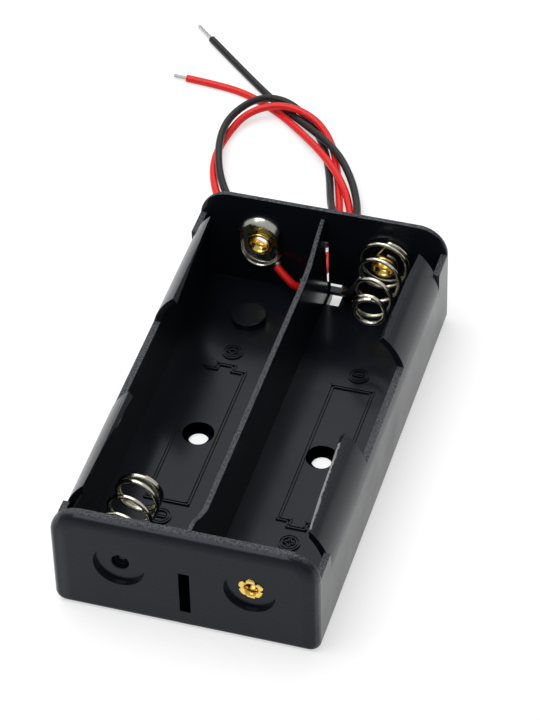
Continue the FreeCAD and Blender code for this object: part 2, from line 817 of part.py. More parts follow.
os.makedirs("parts", exist_ok=True)
doc.recompute()
pieces = [
    tray, back_plate, front_plate, plate_eyelet, spring_eyelet, front_eyelet, back_spring, front_spring,
    red_lead, black_lead, red_tip, black_tip, red_solder, black_solder,
]
for item in doc.Objects:
    if "Invalid" in item.State or "Error" in item.State:
        raise RuntimeError(f"{item.Name} did not build: {item.State}")
for item in pieces:
    if item.Shape.isNull() or not item.Shape.isValid():
        raise RuntimeError(f"{item.Label} has no valid shape")
    item.Shape.exportStep(f"parts/{item.Label}.step")
    print(item.Label, round(item.Shape.Volume, 2), item.Shape.BoundBox)
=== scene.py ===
import math

import bmesh
import bpy
from mathutils import Matrix, Vector


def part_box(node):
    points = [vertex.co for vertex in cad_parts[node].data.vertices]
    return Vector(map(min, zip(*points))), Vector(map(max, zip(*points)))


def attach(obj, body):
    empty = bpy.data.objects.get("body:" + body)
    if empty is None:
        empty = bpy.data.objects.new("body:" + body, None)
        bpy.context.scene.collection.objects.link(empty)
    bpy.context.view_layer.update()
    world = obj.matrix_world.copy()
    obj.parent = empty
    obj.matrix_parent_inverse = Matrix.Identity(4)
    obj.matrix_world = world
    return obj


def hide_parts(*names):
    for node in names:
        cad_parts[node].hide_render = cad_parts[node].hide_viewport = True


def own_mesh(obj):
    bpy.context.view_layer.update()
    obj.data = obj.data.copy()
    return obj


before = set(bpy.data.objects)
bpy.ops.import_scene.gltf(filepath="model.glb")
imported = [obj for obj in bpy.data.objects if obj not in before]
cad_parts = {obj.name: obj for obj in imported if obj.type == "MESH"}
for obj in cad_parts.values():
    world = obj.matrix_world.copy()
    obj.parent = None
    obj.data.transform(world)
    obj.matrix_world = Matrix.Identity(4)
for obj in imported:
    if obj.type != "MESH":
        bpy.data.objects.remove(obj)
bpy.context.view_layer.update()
MM = 0.001


# The tray is one injection moulding in black plastic, with a fine satin grain, slightly rounded edges
# and thin walls that end in springy lips over each cell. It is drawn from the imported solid, with its
# loose triangles merged and every sharp edge eased the way a mould eases it.
def feed(tree, socket, value):
    """Gives a socket a link to another socket, or a plain number or colour."""
    if isinstance(value, bpy.types.NodeSocket):
        tree.links.new(value, socket)
    else:
        socket.default_value = value


def noise(tree, place, scale, detail, roughness=0.5):
    node = tree.nodes.new("ShaderNodeTexNoise")
    feed(tree, node.inputs["Vector"], place)
    feed(tree, node.inputs["Scale"], scale)
    feed(tree, node.inputs["Detail"], detail)
    feed(tree, node.inputs["Roughness"], roughness)
    return node.outputs["Fac"]


def ranged(tree, value, low, high, least=0.0, most=1.0):
    """Turns value into least at low and most at high, with an even slope between."""
    node = tree.nodes.new("ShaderNodeMapRange")
    feed(tree, node.inputs["Value"], value)
    feed(tree, node.inputs["From Min"], low)
    feed(tree, node.inputs["From Max"], high)
    feed(tree, node.inputs["To Min"], least)
    feed(tree, node.inputs["To Max"], most)
    return node.outputs["Result"]


def moulded_grain(name):
    """A node group: fine noise as a height, and broad noise as a blotch mask for the roughness."""
    group = bpy.data.node_groups.new(name, "ShaderNodeTree")
    for title, way in (
        ("Grain scale", "INPUT"), ("Blotch scale", "INPUT"), ("Height", "OUTPUT"), ("Blotch", "OUTPUT"),
    ):
        group.interface.new_socket(title, in_out=way, socket_type="NodeSocketFloat")
    scales = group.nodes.new("NodeGroupInput").outputs
    masks = group.nodes.new("NodeGroupOutput").inputs
    place = group.nodes.new("ShaderNodeTexCoord").outputs["Object"]
    feed(group, masks["Height"], noise(group, place, scales["Grain scale"], detail=3.0))
    feed(group, masks["Blotch"], noise(group, place, scales["Blotch scale"], detail=4.0, roughness=0.6))
    return group


grain = moulded_grain("moulded_grain")


def new_material(name, base, roughness, metallic=0.0):
    material = bpy.data.materials.new(name)
    material.use_nodes = True
    shader = material.node_tree.nodes["Principled BSDF"]
    shader.inputs["Base Color"].default_value = (*base, 1.0)
    shader.inputs["Roughness"].default_value = roughness
    shader.inputs["Metallic"].default_value = metallic
    return material, shader


def add_grain(material, shader, grain_scale, blotch_scale, height, smooth, rough):
    """Places the grain group: its height bumps the surface, its blotches move the roughness a little."""
    tree = material.node_tree
    use = tree.nodes.new("ShaderNodeGroup")
    use.node_tree = grain
    use.inputs["Grain scale"].default_value = grain_scale
    use.inputs["Blotch scale"].default_value = blotch_scale
    relief = tree.nodes.new("ShaderNodeBump")
    relief.inputs["Strength"].default_value = 1.0
    relief.inputs["Distance"].default_value = height
    feed(tree, relief.inputs["Height"], use.outputs["Height"])
    feed(tree, shader.inputs["Normal"], relief.outputs["Normal"])
    blotched = ranged(tree, use.outputs["Blotch"], low=0.3, high=0.7, least=smooth, most=rough)
    feed(tree, shader.inputs["Roughness"], blotched)


PLASTIC_BLACK = (0.0062, 0.0074, 0.0112)
FINE_GRAIN = 0.002 * MM
black_plastic, shader = new_material("black_moulded_plastic", PLASTIC_BLACK, 0.3)
shader.inputs["IOR"].default_value = 1.33
shader.inputs["Specular Tint"].default_value = (0.84, 0.9, 1.0, 1.0)
add_grain(
    black_plastic, shader, grain_scale=3500.0, blotch_scale=90.0, height=FINE_GRAIN, smooth=0.16, rough=0.27)


def figure(tree, operation, *values, clamp=False):
    """One sum in a material. Each value is a socket or a plain number."""
    node = tree.nodes.new("ShaderNodeMath")
    node.operation = operation
    node.use_clamp = clamp
    for socket, value in zip(node.inputs, values):
        feed(tree, socket, value)
    return node.outputs["Value"]


def overlap(tree, *masks):
    """Where all the masks hold."""
    shared = masks[0]
    for mask in masks[1:]:
        shared = figure(tree, "MULTIPLY", shared, mask)
    return shared


def distance(tree, across, along):
    """How far the surface lies from zero, with both ways taken together."""
    flat = tree.nodes.new("ShaderNodeCombineXYZ")
    feed(tree, flat.inputs["X"], across)
    feed(tree, flat.inputs["Y"], along)
    away = tree.nodes.new("ShaderNodeVectorMath")
    away.operation = "LENGTH"
    feed(tree, away.inputs[0], flat.outputs["Vector"])
    return away.outputs["Value"]


def own_place(tree):
    """Where the surface is on its piece: as one vector, and as its X, Y and Z."""
    place = tree.nodes.new("ShaderNodeTexCoord").outputs["Object"]
    split = tree.nodes.new("ShaderNodeSeparateXYZ")
    feed(tree, split.inputs["Vector"], place)
    return place, split.outputs


def blend_in(tree, shader, title, amount, value):
    """Mixes value into what the shader's socket gets so far, as much as amount says."""
    socket = shader.inputs[title]
    mix = tree.nodes.new("ShaderNodeMix")
    mix.data_type = "RGBA" if socket.type == "RGBA" else "FLOAT"
    feed(tree, mix.inputs["A"], socket.links[0].from_socket if socket.links else socket.default_value)
    feed(tree, mix.inputs["B"], value)
    feed(tree, mix.inputs["Factor"], amount)
    feed(tree, socket, mix.outputs["Result"])


CRISP_EDGE = 0.05 * MM
SOFT_EDGE = 0.2 * MM
SLOT_EDGE = 0.02 * MM
HIGHLIGHT_FADE = 0.4 * MM
HIGHLIGHT_FOOT = 0.3 * MM


def matt_ends(material, shader, start, rough, coarse_grain):
    """The end faces come off a grained mould wall: past start from the middle they are rough."""
    tree = material.node_tree
    at = own_place(tree)[1]
    mask = ranged(tree, figure(tree, "ABSOLUTE", at["Y"]), start, start + SOFT_EDGE / 2)
    blend_in(tree, shader, "Roughness", mask, rough)
    relief = shader.inputs["Normal"].links[0].from_node
    depth = ranged(tree, mask, low=0.0, high=1.0, least=FINE_GRAIN, most=coarse_grain)
    feed(tree, relief.inputs["Distance"], depth)


def rough_tops_and_painted_highlight(material, shader, highlight_colour, rough, lowest):
    """The faces that look straight up, higher than lowest, are rougher, and paler in speckles: the paler
    colour is a painted highlight.
    """
    tree = material.node_tree
    place, at = own_place(tree)
    facing = tree.nodes.new("ShaderNodeSeparateXYZ")
    feed(tree, facing.inputs["Vector"], tree.nodes.new("ShaderNodeNewGeometry").outputs["Normal"])
    high = ranged(tree, at["Z"], lowest, lowest + SOFT_EDGE)
    level = ranged(tree, facing.outputs["Z"], low=0.62, high=0.94)
    top = overlap(tree, high, level)
    spots = ranged(tree, noise(tree, place, scale=3800.0, detail=1.0), low=0.3, high=0.75)
    # Painted highlight: up-facing tops get a paler speckled colour, standing in for the overhead lamp's
    # reflection on them.
    blend_in(tree, shader, "Base Color", overlap(tree, top, spots), (*highlight_colour, 1.0))
    blend_in(tree, shader, "Roughness", top, rough)


def broad_end_rounding(material, shader, corner_x, corner_z, start, radius, end_start):
    """The end faces roll over more broadly than their edge radius: a bump bends them from start on."""
    tree = material.node_tree
    at = own_place(tree)[1]
    past_side = figure(tree, "SUBTRACT", figure(tree, "ABSOLUTE", at["X"]), corner_x)
    past_top = figure(tree, "SUBTRACT", at["Z"], corner_z)
    outwards = distance(
        tree, figure(tree, "MAXIMUM", past_side, 0.0), figure(tree, "MAXIMUM", past_top, 0.0))
    rolled = figure(tree, "MAXIMUM", figure(tree, "SUBTRACT", outwards, start), 0.0)
    squared = overlap(tree, rolled, rolled)
    end_side = figure(tree, "ABSOLUTE", at["Y"])
    bend = tree.nodes.new("ShaderNodeBump")
    bend.inputs["Distance"].default_value = 1.0
    feed(tree, bend.inputs["Height"], figure(tree, "MULTIPLY", squared, -1.0 / (2.0 * radius)))
    feed(tree, bend.inputs["Strength"], ranged(tree, end_side, end_start, end_start + SOFT_EDGE))
    relief = shader.inputs["Normal"].links[0].from_node
    feed(tree, relief.inputs["Normal"], bend.outputs["Normal"])


def paint_black_shade(tree, shader, inside):
    """Where inside is 1 the surface gets painted shade: black, rough and with no gloss of its own."""
    # Painted shade: Metallic 1 with a black base colour reflects nothing, so the place reads as deep shadow.
    metallic = shader.inputs["Metallic"]
    if metallic.links:
        feed(tree, metallic, figure(tree, "MAXIMUM", metallic.links[0].from_socket, inside))
    else:
        feed(tree, metallic, inside)
    blend_in(tree, shader, "Roughness", inside, 1.0)
    blend_in(tree, shader, "Base Color", inside, (0.0, 0.0, 0.0, 1.0))


def painted_slot_shade(material, shader, side, half_width, start, stop, softness, top):
    """A narrow slot in an end wall gets painted shade, so it stays dark."""
    tree = material.node_tree
    at = own_place(tree)[1]
    off_middle = figure(tree, "ABSOLUTE", at["X"])
    outwards = figure(tree, "MULTIPLY", at["Y"], side)
    narrow = ranged(tree, off_middle, half_width, half_width - SLOT_EDGE)
    deep = overlap(
        tree, ranged(tree, outwards, start - softness, start),
        ranged(tree, outwards, stop, stop - CRISP_EDGE))
    low = ranged(tree, at["Z"], top, top - CRISP_EDGE)
    # Painted shade: the slot's faces are made black and without gloss, for the shadow deep in the slot.
    paint_black_shade(tree, shader, overlap(tree, narrow, deep, low))


def painted_hole_shade(material, shader, offset, radius, top):
    """The countersunk holes on both sides of the divider get the same painted shade as the slots."""
    tree = material.node_tree
    at = own_place(tree)[1]
    off_hole = figure(tree, "SUBTRACT", figure(tree, "ABSOLUTE", at["X"]), offset)
    near = ranged(tree, distance(tree, off_hole, at["Y"]), radius, radius - CRISP_EDGE)
    low = ranged(tree, at["Z"], top, top - CRISP_EDGE)
    # Painted shade: the countersinks are made black and without gloss, for the shadow inside the holes.
    paint_black_shade(tree, shader, overlap(tree, near, low))


def painted_highlight_line(material, shader, colour, front, back, slope, offset, half_width, lowest):
    """A ragged pale line of painted highlight on the lip, following x + slope * y = offset, from front to
    back.
    """
    tree = material.node_tree
    place, at = own_place(tree)
    across = figure(tree, "MULTIPLY_ADD", at["Y"], slope, at["X"])
    ragged = noise(tree, place, scale=1300.0, detail=6.0, roughness=0.85)
    moved = figure(tree, "MULTIPLY_ADD", ragged, 5.0 * half_width, across)
    centre = offset + 2.5 * half_width
    full = 0.7 * half_width
    line = overlap(
        tree, ranged(tree, moved, centre - half_width, centre - full),
        ranged(tree, moved, centre + half_width, centre + full))
    span = overlap(
        tree, ranged(tree, at["Y"], front, front + HIGHLIGHT_FADE),
        ranged(tree, at["Y"], back, back - HIGHLIGHT_FADE))
    high = ranged(tree, at["Z"], lowest, lowest + HIGHLIGHT_FOOT)
    # Painted highlight: the pale colour stands in for the light caught along the lip's fold.
    blend_in(tree, shader, "Base Color", overlap(tree, line, span, high), (*colour, 1.0))


matt_ends(black_plastic, shader, start=37.68 * MM, rough=0.42, coarse_grain=0.04 * MM)
rough_tops_and_painted_highlight(black_plastic, shader, highlight_colour=(0.13, 0.136, 0.146), rough=0.6, lowest=10.0 * MM)
broad_end_rounding(
    black_plastic, shader, corner_x=15.5 * MM, corner_z=14.3 * MM, start=2.2 * MM, radius=3.0 * MM,
    end_start=37.0 * MM)
# Painted shade in the front and back slots of the end walls.
painted_slot_shade(
    black_plastic, shader, side=-1.0, half_width=1.05 * MM, start=35.0 * MM, stop=37.75 * MM,
    softness=5.0 * MM, top=11.25 * MM)
painted_slot_shade(
    black_plastic, shader, side=1.0, half_width=0.95 * MM, start=36.4 * MM, stop=37.75 * MM,
    softness=0.1 * MM, top=13.0 * MM)
painted_hole_shade(black_plastic, shader, offset=10.0 * MM, radius=2.62 * MM, top=1.69 * MM)
painted_highlight_line(
    black_plastic, shader, colour=(0.36, 0.37, 0.37), front=-31.2 * MM, back=-12.5 * MM, slope=0.034,
    offset=16.12 * MM, half_width=0.24 * MM, lowest=16.9 * MM)

MERGE = 0.002 * MM
work = bmesh.new()
work.from_mesh(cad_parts["tray"].data)
bmesh.ops.remove_doubles(work, verts=work.verts, dist=MERGE)
mesh = bpy.data.meshes.new("moulded_tray")
work.to_mesh(mesh)
work.free()
mesh.shade_smooth()
mesh.materials.append(black_plastic)
tray = bpy.data.objects.new("moulded_tray", mesh)
bpy.context.scene.collection.objects.link(tray)
edge = tray.modifiers.new("eased_edges", "BEVEL")
edge.width = 0.12 * MM
edge.segments = 2
edge.limit_method = "ANGLE"
edge.angle_limit = math.radians(32.0)
edge.use_clamp_overlap = True
edge.miter_outer = "MITER_ARC"
flat_first = tray.modifiers.new("flat_faces_lead", "WEIGHTED_NORMAL")
flat_first.mode = "FACE_AREA"
flat_first.weight = 100
flat_first.keep_sharp = True
mesh.set_sharp_from_angle(angle=math.radians(40.0))
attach(tray, "holder")
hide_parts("tray")


# The polarity signs and the cell outlines are raised lines in the bay floors, part of the moulding:
# a double ring with a plus or a minus in it at both ends of each bay, and a long outline between.
FLOOR = 1.7 * MM
LINE_HEIGHT = 0.26 * MM
SINK = 0.05 * MM
MARK_LINE = 0.2 * MM
SIGN_RADII = (1.16, 1.58)
SIGN_ARM = 0.84
SIGN_BAR = 0.2
OUTLINE_GAP = 0.22
PLUS = [
    (SIGN_BAR, SIGN_BAR), (SIGN_ARM, SIGN_BAR), (SIGN_ARM, -SIGN_BAR), (SIGN_BAR, -SIGN_BAR),
    (SIGN_BAR, -SIGN_ARM), (-SIGN_BAR, -SIGN_ARM), (-SIGN_BAR, -SIGN_BAR), (-SIGN_ARM, -SIGN_BAR),
    (-SIGN_ARM, SIGN_BAR), (-SIGN_BAR, SIGN_BAR), (-SIGN_BAR, SIGN_ARM), (SIGN_BAR, SIGN_ARM),
]
MINUS = [(SIGN_ARM, SIGN_BAR), (SIGN_ARM, -SIGN_BAR), (-SIGN_ARM, -SIGN_BAR), (-SIGN_ARM, SIGN_BAR)]
SIGNS = ((-10.2, 19.1, PLUS), (10.35, -19.0, PLUS), (-10.1, -18.7, MINUS), (10.7, 19.0, MINUS))
# Each outline's left, right, front and back, then its nub: how far out it reaches, its left and its right.
OUTLINES = (
    (-13.6, -6.9, -15.3, 14.7, 15.9, -11.6, -8.9),
    (7.3, 13.8, -14.5, 15.7, -15.7, 9.15, 11.8),
)


def raised_line(work, start, end):
    """One straight ridge on the bay floor, from start to end, in mm."""
    start = Vector((*start, 0.0)) * MM
    end = Vector((*end, 0.0)) * MM
    run = end - start
    turn = Matrix.Rotation(math.atan2(run.y, run.x), 3, "Z")
    middle = (start + end) / 2
    made = bmesh.ops.create_cube(work, size=1.0)["verts"]
    bmesh.ops.scale(work, vec=(run.length + MARK_LINE, MARK_LINE, LINE_HEIGHT + SINK), verts=made)
    bmesh.ops.rotate(work, cent=(0, 0, 0), matrix=turn, verts=made)
    bmesh.ops.translate(work, vec=(middle.x, middle.y, FLOOR + (LINE_HEIGHT - SINK) / 2), verts=made)


def raised_loop(work, corners):
    """A closed ridge through the corners, in mm."""
    for start, end in zip(corners, corners[1:] + corners[:1]):
        raised_line(work, start, end)


def raised_ring(work, centre, radius):
    """A round ridge, in mm."""
    inner = radius * MM - MARK_LINE / 2
    factor = (radius * MM + MARK_LINE / 2) / inner
    ring = bmesh.ops.create_circle(work, cap_ends=False, radius=inner, segments=40)["verts"]
    edges = list({edge for vert in ring for edge in vert.link_edges})
    grown = bmesh.ops.extrude_edge_only(work, edges=edges)["geom"]
    outer = [item for item in grown if isinstance(item, bmesh.types.BMVert)]
    bmesh.ops.scale(work, vec=(factor, factor, 1.0), verts=outer)
    flat = list({face for vert in outer for face in vert.link_faces})
    raised = bmesh.ops.extrude_face_region(work, geom=flat)["geom"]
    top = [item for item in raised if isinstance(item, bmesh.types.BMVert)]
    bmesh.ops.translate(work, vec=(0, 0, LINE_HEIGHT + SINK), verts=top)
    bmesh.ops.translate(
        work, vec=(centre[0] * MM, centre[1] * MM, FLOOR - SINK), verts=ring + outer + top)


def finish_mesh(work, piece_name, material, smooth_angle=35.0):
    bmesh.ops.recalc_face_normals(work, faces=work.faces)
    mesh = bpy.data.meshes.new(piece_name)
    work.to_mesh(mesh)
    work.free()
    mesh.shade_smooth()
    mesh.set_sharp_from_angle(angle=math.radians(smooth_angle))
    mesh.materials.append(material)
    piece = bpy.data.objects.new(piece_name, mesh)
    bpy.context.scene.collection.objects.link(piece)
    return piece


work = bmesh.new()
for x, y, bars in SIGNS:
    for radius in SIGN_RADII:
        raised_ring(work, (x, y), radius)
    raised_loop(work, [(x + along, y + across) for along, across in bars])

for x_low, x_high, y_low, y_high, nub_y, nub_low, nub_high in OUTLINES:
    out = 1 if nub_y > 0 else -1
    nub_side = y_high if nub_y > 0 else y_low
    far_side = y_low if nub_y > 0 else y_high
    for grow in (OUTLINE_GAP, -OUTLINE_GAP):
        raised_loop(work, [
            (nub_low - grow, nub_side + out * grow), (x_low - grow, nub_side + out * grow),
            (x_low - grow, far_side - out * grow), (x_high + grow, far_side - out * grow),
            (x_high + grow, nub_side + out * grow), (nub_high + grow, nub_side + out * grow),
            (nub_high + grow, nub_y + out * grow), (nub_low - grow, nub_y + out * grow),
        ])
marks = finish_mesh(work, "floor_marks", black_plastic)
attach(marks, "holder")


# The fourth eyelet hole, in the left bay's front wall, holds no eyelet: a thin cup of the moulding with
# a small raised dimple in its bottom closes it. A web closes the slot beside it, up to the link wire.
CUP_FLOOR = 35.95
CUP_BACK = CUP_FLOOR - 0.15
CUP_LIP = 36.98
CUP_PLACE = Vector((-10.0, 0.0, 10.2)) * MM
# The cup's half section from its middle outwards: radius, and distance in front of the tray's middle.
CUP_PROFILE = (
    (0.0, CUP_FLOOR + 0.24), (0.42, CUP_FLOOR + 0.22), (0.62, CUP_FLOOR + 0.08), (0.8, CUP_FLOOR),
    (1.3, CUP_FLOOR), (1.38, CUP_FLOOR + 0.1), (1.38, CUP_LIP - 0.05), (1.44, CUP_LIP), (1.54, CUP_LIP),
    (1.54, CUP_BACK), (0.0, CUP_BACK))
WEB_SIZE = Vector((1.68, 0.4, 7.5)) * MM
WEB_PLACE = Vector((0.0, -36.72, 6.96)) * MM

work = bmesh.new()
rim = [work.verts.new((radius * MM, -height * MM, 0.0)) for radius, height in CUP_PROFILE]
bmesh.ops.spin(
    work, geom=rim + [work.edges.new(pair) for pair in zip(rim, rim[1:])], cent=(0, 0, 0), axis=(0, 1, 0),
    angle=math.tau, steps=48, use_merge=True)
bmesh.ops.remove_doubles(work, verts=work.verts, dist=MERGE)
bmesh.ops.translate(work, vec=CUP_PLACE, verts=work.verts)
slot_web = bmesh.ops.create_cube(work, size=1.0)["verts"]
bmesh.ops.scale(work, vec=WEB_SIZE, verts=slot_web)
bmesh.ops.translate(work, vec=WEB_PLACE, verts=slot_web)
bmesh.ops.bevel(
    work, geom=list({edge for vert in slot_web for edge in vert.link_edges}), offset=0.1 * MM,
    affect="EDGES", segments=2, profile=0.5, material=-1)
webs = finish_mesh(work, "front_webs", black_plastic, smooth_angle=50.0)
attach(webs, "holder")


# The contact plates are pressed from nickel-plated strip: an upright oval with a raised ridge round a
# flat bottom, its outer slope widest at the top. Each is held to its end wall by a brass eyelet.
PLATE_WIDE = 3.6
PLATE_STRAIGHT = 1.3
PLATE_BOTTOM = 0.4
PLATE_RIM = 1.3
PLATE_HOLE = 1.55
PLATE_START = math.radians(2.5)
PLATE_LEAN = 0.3
# Each ring's inset from the outline, its height off the wall, and how much narrower it is at the top.
PLATE_RINGS = (
    (0.0, 0.4, 0.0), (0.06, 0.62, 0.12), (0.14, 0.88, 0.26), (0.24, 1.1, 0.4), (0.34, 1.24, 0.5),
    (0.44, PLATE_RIM, 0.55), (0.54, 1.22, 0.55), (0.62, 0.9, 0.55), (0.7, 0.5, 0.55),
    (0.8, PLATE_BOTTOM, 0.55),
)
nickel, shader = new_material("nickel_plate", (0.6, 0.6, 0.54), 0.2, 1.0)
add_grain(nickel, shader, grain_scale=900.0, blotch_scale=420.0, height=0.04 * MM, smooth=0.12, rough=0.34)


def turned(work, verts, angle, axis):
    bmesh.ops.rotate(work, cent=(0, 0, 0), matrix=Matrix.Rotation(angle, 3, axis), verts=verts)


def half_of(vert):
    """1 on the plate's upper half and -1 on its lower half."""
    return 1 if vert.co.z > 0 else -1


def shape_oval(verts, inset, height, wide_top=0.0):
    """Places a ring of the plate: inset from its outline, height off the wall, and wider at the top."""
    for vert in verts:
        straight = half_of(vert) * PLATE_STRAIGHT
        angle = math.atan2(vert.co.z - straight * MM, vert.co.x)
        reach = PLATE_WIDE - inset - wide_top * max(0.0, math.sin(angle + PLATE_LEAN))
        vert.co = Vector((reach * math.cos(angle), -height, reach * math.sin(angle) + straight)) * MM


def next_ring(work, edges):
    """Draws the next ring out of the last one's edges."""
    grown = bmesh.ops.extrude_edge_only(work, edges=edges)["geom"]
    verts = [item for item in grown if isinstance(item, bmesh.types.BMVert)]
    fresh = set(verts)
    ring = [item for item in grown if isinstance(item, bmesh.types.BMEdge) and fresh.issuperset(item.verts)]
    return verts, ring


for node, facing in (("back_plate", -1), ("front_plate", 1)):
    low, high = (Vector(corner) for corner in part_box(node))
    work = bmesh.new()
    verts = bmesh.ops.create_circle(work, cap_ends=False, radius=PLATE_WIDE * MM, segments=72)["verts"]
    turned(work, verts, PLATE_START, "Z")
    turned(work, verts, math.radians(90), "X")
    for vert in verts:
        vert.co.z += math.copysign(PLATE_STRAIGHT * MM, vert.co.z)
    ring = list(work.edges)
    shape_oval(verts, 0.0, 0.0)
    for inset, height, wide_top in PLATE_RINGS:
        verts, ring = next_ring(work, ring)
        shape_oval(verts, inset, height, wide_top)
    for height in (PLATE_BOTTOM, 0.0):
        verts, ring = next_ring(work, ring)
        for vert in verts:
            flat = Vector((vert.co.x, 0.0, vert.co.z - half_of(vert) * PLATE_STRAIGHT * MM * (height > 0)))
            vert.co = flat.normalized() * PLATE_HOLE * MM - Vector((0.0, height * MM, 0.0))
    bmesh.ops.bridge_loops(work, edges=[edge for edge in work.edges if edge.is_boundary])
    if facing > 0:
        turned(work, work.verts, math.pi, "Z")
    wall_side = high.y if facing < 0 else low.y
    bmesh.ops.translate(
        work, vec=((low.x + high.x) / 2, wall_side, (low.z + high.z) / 2), verts=work.verts)
    plate = finish_mesh(work, "pressed_" + node, nickel, smooth_angle=50.0)
    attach(plate, "holder")
    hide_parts(node)


# The eyelets are drawn brass: a rolled flange inside the bay, a barrel through the wall, and its end
# split into six petals that are rolled outwards over the floor of the round recess.
FLANGE_HEIGHT = 0.9
PETAL_RADIUS = 2.05
PETAL_ROOT = 1.3
PETAL_LENGTH = PETAL_RADIUS - PETAL_ROOT
PETAL_THICKNESS = 0.35
PETALS = 6
NOTCH = 0.5
NOTCH_WIDTH = 0.11
BENT = 0.06
brass, shader = new_material("drawn_brass", (0.86, 0.62, 0.17), 0.2, 1.0)
add_grain(brass, shader, grain_scale=1500.0, blotch_scale=300.0, height=0.004 * MM, smooth=0.12, rough=0.24)


def petal_reach(angle):
    """How far the rolled edge reaches: a notch between petals, and no two petals alike."""
    share = angle * PETALS / math.tau
    off_notch = (share - round(share)) * math.tau / PETALS
    uneven = 0.07 * math.sin(angle * 2.0 + 0.7) + 0.05 * math.sin(angle * 5.0)
    return PETAL_RADIUS - 0.1 + uneven - NOTCH * math.exp(-(off_notch / NOTCH_WIDTH) ** 2)


for node, facing in (("back_plate_eyelet", -1), ("back_spring_eyelet", -1), ("front_plate_eyelet", 1)):
    low, high = (Vector(corner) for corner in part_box(node))
    far = (high.y - low.y) / MM - FLANGE_HEIGHT
    profile = [
        # Radius, and height above the wall: the flange and its funnel, the barrel, then the petals.
        (1.5, 0.0), (1.98, 0.0), (2.08, 0.1), (2.1, 0.3), (2.09, 0.55), (2.03, 0.74), (1.92, 0.86),
        (1.79, 0.9), (1.66, 0.86), (1.57, 0.76), (1.5, 0.62), (1.36, 0.46), (1.2, 0.3), (1.06, 0.12),
        (0.97, -0.06), (0.92, -0.25), (0.92, -far + 0.6), (1.05, -far + 0.28), (1.22, -far + 0.08),
        (1.45, -far), (1.75, -far + 0.02), (1.97, -far + 0.1), (2.05, -far + 0.22), (1.97, -far + 0.3),
        (1.62, -far + 0.27), (1.5, -far + 0.3),
    ]
    work = bmesh.new()
    verts = [work.verts.new((radius * MM, -height * MM, 0.0)) for radius, height in profile]
    edges = [work.edges.new(pair) for pair in zip(verts, verts[1:] + verts[:1])]
    bmesh.ops.spin(
        work, geom=verts + edges, cent=(0, 0, 0), axis=(0, 1, 0), angle=math.tau, steps=96, use_merge=True)
    for vert in work.verts:
        radius = math.hypot(vert.co.x, vert.co.z) / MM
        if vert.co.y > (far - PETAL_THICKNESS) * MM and radius > PETAL_ROOT:
            angle = math.atan2(vert.co.z, vert.co.x)
            share = (radius - PETAL_ROOT) / PETAL_LENGTH
            reach = PETAL_ROOT + share * (petal_reach(angle) - PETAL_ROOT)
            vert.co.x *= reach / radius
            vert.co.z *= reach / radius
            vert.co.y -= BENT * MM * (1 + math.sin(angle * 4.0)) * (reach - PETAL_ROOT)
    if facing > 0:
        turned(work, work.verts, math.pi, "Z")
    seat = low.y + FLANGE_HEIGHT * MM if facing < 0 else high.y - FLANGE_HEIGHT * MM
    bmesh.ops.translate(work, vec=((low.x + high.x) / 2, seat, (low.z + high.z) / 2), verts=work.verts)
    eyelet = finish_mesh(work, "rolled_" + node, brass, smooth_angle=60.0)
    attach(eyelet, "holder")
    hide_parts(node)


# The springs are bright spring wire, wound as one piece each: an eye under the eyelet's flange, then
# a coil that stands off the wall. The front one runs on as the link between the two bays.
WIRE = 0.7 * MM
WALL = 36.4 * MM
EYE_RADIUS = 1.92 * MM
EYE_STEPS = 16
EYE_END = math.radians(150)
CROSSOVER = math.tau * 0.18
BASE_RADIUS = 4.1 * MM
BACK_CENTRE = Vector((10.36 * MM, WALL, 10.9 * MM))
EYE_CENTRE = Vector((10.0 * MM, -WALL, 10.2 * MM))
COIL_CENTRE = Vector((-11.7 * MM, -WALL, 10.2 * MM))
BACK_LENGTH = 12.4 * MM
FRONT_LENGTH = 14.4 * MM
FLAT_TURNS = 0.7
RISING_TURNS = 3.6
CLOSED_PITCH = 0.75 * MM
LINK_STEPS = 9
LINK_SAG = 0.55 * MM
PER_TURN = 20
spring_wire, shader = new_material("bright_spring_wire", (0.84, 0.81, 0.68), 0.2, 1.0)
add_grain(
    spring_wire, shader, grain_scale=1100.0, blotch_scale=500.0, height=0.08 * MM, smooth=0.08, rough=0.2)


def smooth_share(share):
    share = min(max(share, 0.0), 1.0)
    return share * share * (3.0 - 2.0 * share)


def coil_path(centre, inward, angle, spin, end_radius, coil_length, closed_turns, lean, close_wound, lift):
    """The coil from its flat base turn to its free end, leaning sideways by lean as it goes."""
    closing = closed_turns * CLOSED_PITCH
    climb = coil_length - WIRE - closing
    turns = FLAT_TURNS + RISING_TURNS + FLAT_TURNS + closed_turns
    points = []
    for index in range(int(turns * PER_TURN) + 1):
        turn = index / PER_TURN
        share = min(max((turn - FLAT_TURNS) / RISING_TURNS, 0.0), 1.0)
        rise = climb * ((1.0 - close_wound) * share + close_wound * smooth_share(share))
        late = turn - FLAT_TURNS - RISING_TURNS
        if late > 0 and closed_turns > 0:
            rise += closing * min(late / closed_turns, 1.0)
        radius = BASE_RADIUS + (end_radius - BASE_RADIUS) * share
        at = angle + spin * math.tau * turn
        points.append(centre + Vector((
            radius * math.cos(at) + lean * share,
            inward * (WIRE / 2 + rise),
            radius * math.sin(at) + lift * (1.0 - share))))
    return points


def eye_path(centre, inward, last_angle, spin):
    """The eye that lies under the eyelet's flange."""
    points = []
    for index in range(EYE_STEPS + 1):
        at = last_angle - spin * math.tau * (EYE_STEPS - index) / PER_TURN
        points.append(
            centre + Vector((EYE_RADIUS * math.cos(at), inward * WIRE / 2, EYE_RADIUS * math.sin(at))))
    return points


